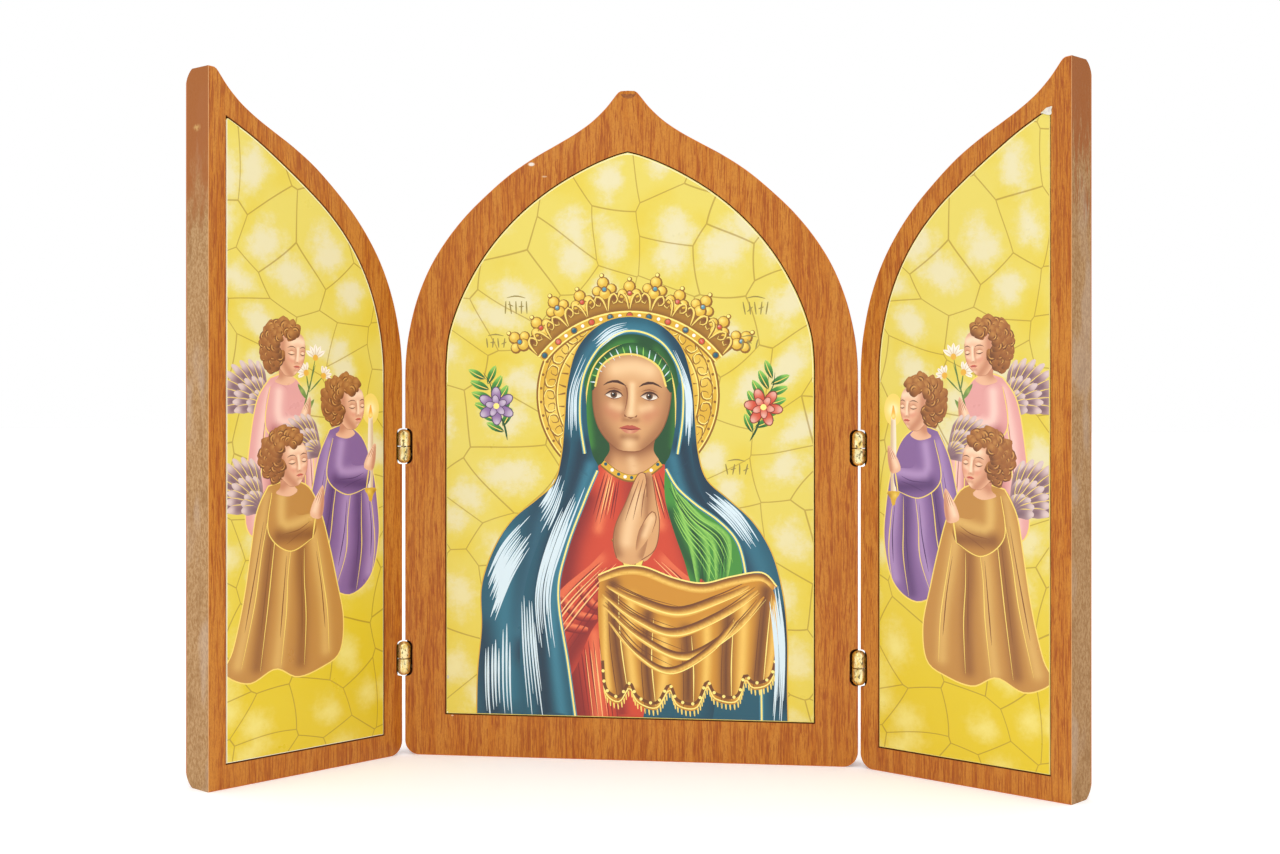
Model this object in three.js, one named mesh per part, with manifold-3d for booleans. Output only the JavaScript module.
// Folding triptych altarpiece: a centre board and two half-width wings with an ogee top,
// each with a picture plate let into its front, joined by four small barrel hinges.
// Millimetres, +Z up, front towards -Y, origin under the middle of the centre board.
import * as THREE from 'three';
import { mergeVertices } from 'three/addons/utils/BufferGeometryUtils.js';
import Module from 'manifold-3d';

const wasm = await Module();
wasm.setup();

// Boards
const boardHalf = 108.8; // half the width of the centre board
const boardHeight = 319;
const thickness = 18;
const cornerRadius = 7; // lower corners beside the hinges
const sawCut = 0.3; // taken off each wing where a full board was sawn in two
const backEdge = { radius: 9.3, from: 64, to: 14 }; // rounded-over back edge, degrees

// Right half of the board's outline above its straight sides: [x, z]
const crown = [[0, 319], [3.3, 318.8], [4.5, 318.1], [5.4, 317.1]];
const crownSlope = 50; // degrees, the slope of the flanks next to the crown
const flank = [
  [5.4, 317.1], [8.2, 313.5], [11.5, 309.7], [17.6, 304.1], [25.5, 298.7], [34.5, 293.6],
  [45.5, 287.5], [57, 279.9], [68.3, 270.4], [79.2, 259.8], [88.9, 247.8], [97, 234.5],
  [103.2, 219.2], [107, 203.5], [108.5, 191], [108.8, 180],
];

// Picture plates: [x, z] from the point of the arch down to the straight side
const centreArch = [
  [0, 289.5], [6, 287.9], [16, 284], [28, 277.9], [40, 270.3], [51, 261.5], [61, 251.4],
  [69.8, 240.2], [77.3, 227.7], [83, 215.3], [87, 202.4], [88.3, 190], [88.4, 180],
];
const wingArch = [
  [10, 297.4], [17.5, 293.5], [27, 288], [40, 279.1], [53, 269.5], [65.5, 259.1],
  [76.5, 247.2], [85.3, 233.9], [91.8, 219.3], [96, 203.5], [97.7, 190], [97.9, 180],
];
const centrePlateFoot = 20.3; // height of the plates' lower edges
const wingPlateFoot = 11.2;
const plate = { thickness: 3, sunk: 0.15, bevel: 0.45 };
const recess = { depth: 3.5, clearance: 0.5 };
const plateShift = { left: -0.5, right: 0.5 }; // how far each wing's plate sits towards the hinge

// Hinges
const panelGap = 1.09;
const axisX = boardHalf + panelGap / 2;
const axisProud = 0.25; // the hinge axis stands this far in front of the faces
const hingeHeights = { upper: 149.2, lower: 46.6 };
const barrel = { radius: 3.15, length: 16.5, dome: 2.9, split: 0.4, sides: 28 };
const pivot = { radius: 1.2, bore: 1.29, length: 3.2, boreDepth: 3.6 };
const prong = { radius: 0.9, hole: 1.2, behindFace: 2, reach: 8.5, holeReach: 8.9, rise: 4.1 };
const pocket = { halfWidth: 4.35, height: 17.3, depth: 3.7, corner: 3 };

// Wing angles in the rest pose, degrees forward of flat
const restAngle = { left: 54.6, right: 34.4 };

const rad = THREE.MathUtils.degToRad;

// Closed geometry to solid and back
function solid(geometry) {
  const bare = new THREE.BufferGeometry();
  const source = geometry.index ? geometry.toNonIndexed() : geometry;
  bare.setAttribute('position', source.getAttribute('position'));
  const merged = mergeVertices(bare, 1e-4);
  return new wasm.Manifold(new wasm.Mesh({
    numProp: 3,
    vertProperties: merged.attributes.position.array,
    triVerts: new Uint32Array(merged.index.array),
  }));
}

function geometryOf(body) {
  const { vertProperties, triVerts } = body.getMesh();
  const geometry = new THREE.BufferGeometry();
  geometry.setAttribute('position', new THREE.BufferAttribute(vertProperties, 3));
  geometry.setIndex(new THREE.BufferAttribute(triVerts, 1));
  const flat = geometry.toNonIndexed();
  flat.computeVertexNormals();
  return flat;
}

// A solid whose outline in the XZ plane shrinks with depth along +Y. Each outline point is
// { p, inset }, listed anticlockwise seen from the front; each level is [depth, inset].
function loft(outline, levels) {
  const rings = levels.map(([y, d]) =>
    outline.map(({ p, inset }) => [p.x + inset.x * d, y, p.y + inset.y * d]));
  const faces = THREE.ShapeUtils.triangulateShape(outline.map(({ p }) => p), []);
  const at = [];
  const n = outline.length;
  const put = (...corners) => corners.forEach((c) => at.push(...c));
  const front = rings[0];
  const back = rings[rings.length - 1];
  for (const [a, b, c] of faces) {
    put(front[a], front[b], front[c]);
    put(back[a], back[c], back[b]);
  }
  for (let k = 0; k + 1 < rings.length; k++) {
    for (let i = 0; i < n; i++) {
      const j = (i + 1) % n;
      put(rings[k][i], rings[k + 1][j], rings[k][j]);
      put(rings[k][i], rings[k + 1][i], rings[k + 1][j]);
    }
  }
  const geometry = new THREE.BufferGeometry();
  geometry.setAttribute('position', new THREE.Float32BufferAttribute(at, 3));
  return geometry;
}

// Inset directions from the outline's own corners, as for a mitred frame
function mitred(points) {
  const n = points.length;
  return points.map((p, i) => {
    const before = p.clone().sub(points[(i + n - 1) % n]).normalize();
    const after = points[(i + 1) % n].clone().sub(p).normalize();
    const a = new THREE.Vector2(-before.y, before.x);
    const b = new THREE.Vector2(-after.y, after.x);
    const inset = a.add(b);
    return { p, inset: inset.multiplyScalar(2 / inset.lengthSq()) };
  });
}

const asVectors = (list) => list.map(([x, z]) => new THREE.Vector2(x, z));

function arc(centre, radius, from, to, steps) {
  return Array.from({ length: steps + 1 }, (_, i) => {
    const a = rad(from + ((to - from) * i) / steps);
    return new THREE.Vector2(centre[0] + radius * Math.cos(a), centre[1] + radius * Math.sin(a));
  });
}

// Right half of a board, from the lower corner up the side and over to the crown
function halfBoard() {
  const rise = new THREE.SplineCurve(asVectors(flank)).getSpacedPoints(26);
  rise.forEach((p) => { p.x = Math.min(p.x, boardHalf); });
  const corner = arc([boardHalf - cornerRadius, cornerRadius], cornerRadius, -90, 0, 5);
  const top = asVectors(crown).slice(0, -1).reverse();
  const points = [...corner, ...rise.reverse(), ...top];
  const set = mitred([new THREE.Vector2(0, 0), ...points]).slice(1);
  // the crown's small rounding moves as one corner, so that it never folds over
  const tilt = rad(crownSlope);
  const shift = new THREE.Vector2(-(1 - Math.cos(tilt)) / Math.sin(tilt), -1);
  set.forEach((v, i) => {
    if (i >= points.length - crown.length && i < points.length - 1) v.inset.copy(shift);
  });
  set[0].inset.set(0, 1);
  set[set.length - 1].inset.set(0, -1);
  return set;
}

function backLevels() {
  const { radius, from, to } = backEdge;
  const y = thickness - radius * Math.cos(rad(to));
  const d = radius * Math.sin(rad(from));
  const steps = 4;
  const levels = [[0, 0]];
  for (let i = 0; i <= steps; i++) {
    const a = rad(from + ((to - from) * i) / steps);
    levels.push([y + radius * Math.cos(a), d - radius * Math.sin(a)]);
  }
  return levels;
}

function centreBoardBlank() {
  const right = halfBoard();
  const left = right.slice(0, -1).reverse().map(({ p, inset }) => ({
    p: new THREE.Vector2(-p.x, p.y),
    inset: new THREE.Vector2(-inset.x, inset.y),
  }));
  return solid(loft([...right, ...left], backLevels()));
}

// side is 1 for the right wing and -1 for the left; x runs outwards from the hinge axis
function wingOutline(side) {
  const far = panelGap / 2 + boardHalf;
  const half = halfBoard().map(({ p, inset }) => ({
    p: new THREE.Vector2(far - p.x, p.y),
    inset: new THREE.Vector2(-inset.x, inset.y),
  }));
  half[half.length - 1].p.x -= sawCut;
  half.push({ p: new THREE.Vector2(far - sawCut, 0), inset: new THREE.Vector2(0, 1) });
  // mirrored once, so the order turns round
  if (side > 0) return half.reverse();
  return half.map(({ p, inset }) => ({
    p: new THREE.Vector2(-p.x, p.y),
    inset: new THREE.Vector2(-inset.x, inset.y),
  }));
}

// Outline of a picture plate grown by some clearance, anticlockwise from the front
function plateOutline(arch, foot, wing, side, shift, grow) {
  const curve = new THREE.SplineCurve(asVectors(arch)).getSpacedPoints(18);
  let points;
  if (!wing) {
    const right = [new THREE.Vector2(arch[arch.length - 1][0], foot), ...curve.slice().reverse()];
    const left = right.slice(0, -1).reverse().map((p) => new THREE.Vector2(-p.x, p.y));
    points = [...right, ...left];
  } else {
    const far = panelGap / 2 + boardHalf - shift;
    const inner = arch[arch.length - 1][0];
    points = [...curve, new THREE.Vector2(inner, foot), new THREE.Vector2(arch[0][0], foot)]
      .map((p) => new THREE.Vector2(side * (far - p.x), p.y));
    if (side > 0) points.reverse();
    points.reverse();
    if (THREE.ShapeUtils.area(points) < 0) points.reverse();
  }
  return mitred(points).map(({ p, inset }) => ({
    p: p.clone().addScaledVector(inset, -grow),
    inset,
  }));
}

function plateGeometry(outline) {
  const { thickness: t, sunk, bevel } = plate;
  return loft(outline, [[sunk, bevel], [sunk + 0.15, 0.13], [sunk + bevel, 0], [sunk + t, 0]]);
}

const recessTool = (outline) => solid(loft(outline, [[-1, 0], [recess.depth, 0]]));

function pocketTool(x, z) {
  const { halfWidth: w, height, depth, corner: r } = pocket;
  const h = height / 2;
  const shape = new THREE.Shape();
  shape.absarc(x + w - r, z - h + r, r, -Math.PI / 2, 0);
  shape.absarc(x + w - r, z + h - r, r, 0, Math.PI / 2);
  shape.absarc(x - w + r, z + h - r, r, Math.PI / 2, Math.PI);
  shape.absarc(x - w + r, z - h + r, r, Math.PI, Math.PI * 1.5);
  const geometry = new THREE.ExtrudeGeometry(shape, {
    depth: depth + 1, bevelEnabled: false, curveSegments: 5,
  });
  return solid(geometry.rotateX(Math.PI / 2).translate(0, depth, 0));
}

// A bar along X from the hinge axis, outwards for direction 1
function bar(radius, from, to, z, direction) {
  const geometry = new THREE.CylinderGeometry(radius, radius, to - from, 16);
  geometry.rotateZ(Math.PI / 2).translate(direction * (from + to) / 2, prong.behindFace, z);
  return solid(geometry);
}

// Half a barrel on the Z axis through (0, -axisProud), dome up for the upper half
function hingeHalf(upper, z, direction) {
  const { radius: r, length, dome, split, sides } = barrel;
  const top = length / 2;
  const profile = [new THREE.Vector2(0, split / 2), new THREE.Vector2(r - 0.25, split / 2),
    new THREE.Vector2(r, split / 2 + 0.25)];
  for (let i = 0; i <= 6; i++) {
    const a = (i / 6) * (Math.PI / 2);
    profile.push(new THREE.Vector2(i === 6 ? 0 : r * Math.cos(a), top - dome + dome * Math.sin(a)));
  }
  const lathe = new THREE.LatheGeometry(profile, sides).rotateX(Math.PI / 2);
  if (!upper) lathe.rotateX(Math.PI);
  lathe.translate(0, -axisProud, z);
  let body = solid(lathe);
  const shaft = (radius, from, to) => {
    const geometry = new THREE.CylinderGeometry(radius, radius, to - from, sides);
    return solid(geometry.rotateX(Math.PI / 2).translate(0, -axisProud, z + (from + to) / 2));
  };
  body = upper
    ? body.subtract(shaft(pivot.bore, -1, split / 2 + pivot.boreDepth))
    : body.add(shaft(pivot.radius, -split / 2 - 1, split / 2 + pivot.length));
  const level = z + (upper ? prong.rise : -prong.rise);
  return body.add(bar(prong.radius, 1.5, prong.reach, level, direction));
}

function piece(name, body, material) {
  const mesh = new THREE.Mesh(body.isBufferGeometry ? body : geometryOf(body), material);
  mesh.name = name;
  return mesh;
}

const wood = (color) => new THREE.MeshStandardMaterial({ color, roughness: 0.5, metalness: 0 });
const print = (color) => new THREE.MeshStandardMaterial({ color, roughness: 0.3, metalness: 0 });
const brass = () => new THREE.MeshStandardMaterial({ color: 0xd9b64a, roughness: 0.25, metalness: 1 });

const altarpiece = new THREE.Group();
altarpiece.position.y = -thickness / 2;

// Centre board: recess, four half pockets, prong holes and a small sanded flat on the crown
let centre = centreBoardBlank();
centre = centre.subtract(recessTool(
  plateOutline(centreArch, centrePlateFoot, false, 1, 0, recess.clearance)));
const crownFlat = new THREE.SphereGeometry(1, 20, 12).scale(3.8, 1, 2.9).translate(0.4, -0.1, 318);
centre = centre.subtract(solid(crownFlat));
for (const side of [-1, 1]) {
  for (const z of Object.values(hingeHeights)) {
    centre = centre.subtract(pocketTool(side * axisX, z));
    const hole = bar(prong.hole, 1, prong.holeReach, z - prong.rise, -side);
    centre = centre.subtract(hole.translate([side * axisX, 0, 0]));
  }
}
altarpiece.add(piece('centre_board', centre, wood(0xc07a3a)));

const centrePlate = plateGeometry(plateOutline(centreArch, centrePlateFoot, false, 1, 0, 0));
altarpiece.add(piece('centre_picture_plate', centrePlate, print(0xe8dd70)));

for (const [wing, side] of [['left', -1], ['right', 1]]) {
  const swing = new THREE.Group();
  swing.position.set(side * axisX, -axisProud, 0);
  swing.rotation.z = -side * rad(restAngle[wing]);
  const leaf = new THREE.Group();
  leaf.position.y = axisProud;
  swing.add(leaf);
  altarpiece.add(swing);

  let board = solid(loft(wingOutline(side), backLevels()));
  const shift = plateShift[wing];
  board = board.subtract(recessTool(
    plateOutline(wingArch, wingPlateFoot, true, side, shift, recess.clearance)));
  for (const z of Object.values(hingeHeights)) {
    board = board.subtract(pocketTool(0, z));
    board = board.subtract(bar(prong.hole, 1, prong.holeReach, z + prong.rise, side));
  }
  leaf.add(piece(`${wing}_wing_board`, board, wood(0xbb7537)));
  const panel = plateGeometry(plateOutline(wingArch, wingPlateFoot, true, side, shift, 0));
  leaf.add(piece(`${wing}_picture_plate`, panel, print(0xe3c85a)));

  for (const [level, z] of Object.entries(hingeHeights)) {
    leaf.add(piece(`${wing}_${level}_hinge_moving_half`, hingeHalf(true, z, side), brass()));
    const fixed = piece(`${wing}_${level}_hinge_fixed_half`, hingeHalf(false, z, -side), brass());
    fixed.position.x = side * axisX;
    altarpiece.add(fixed);
  }
}

export default altarpiece;
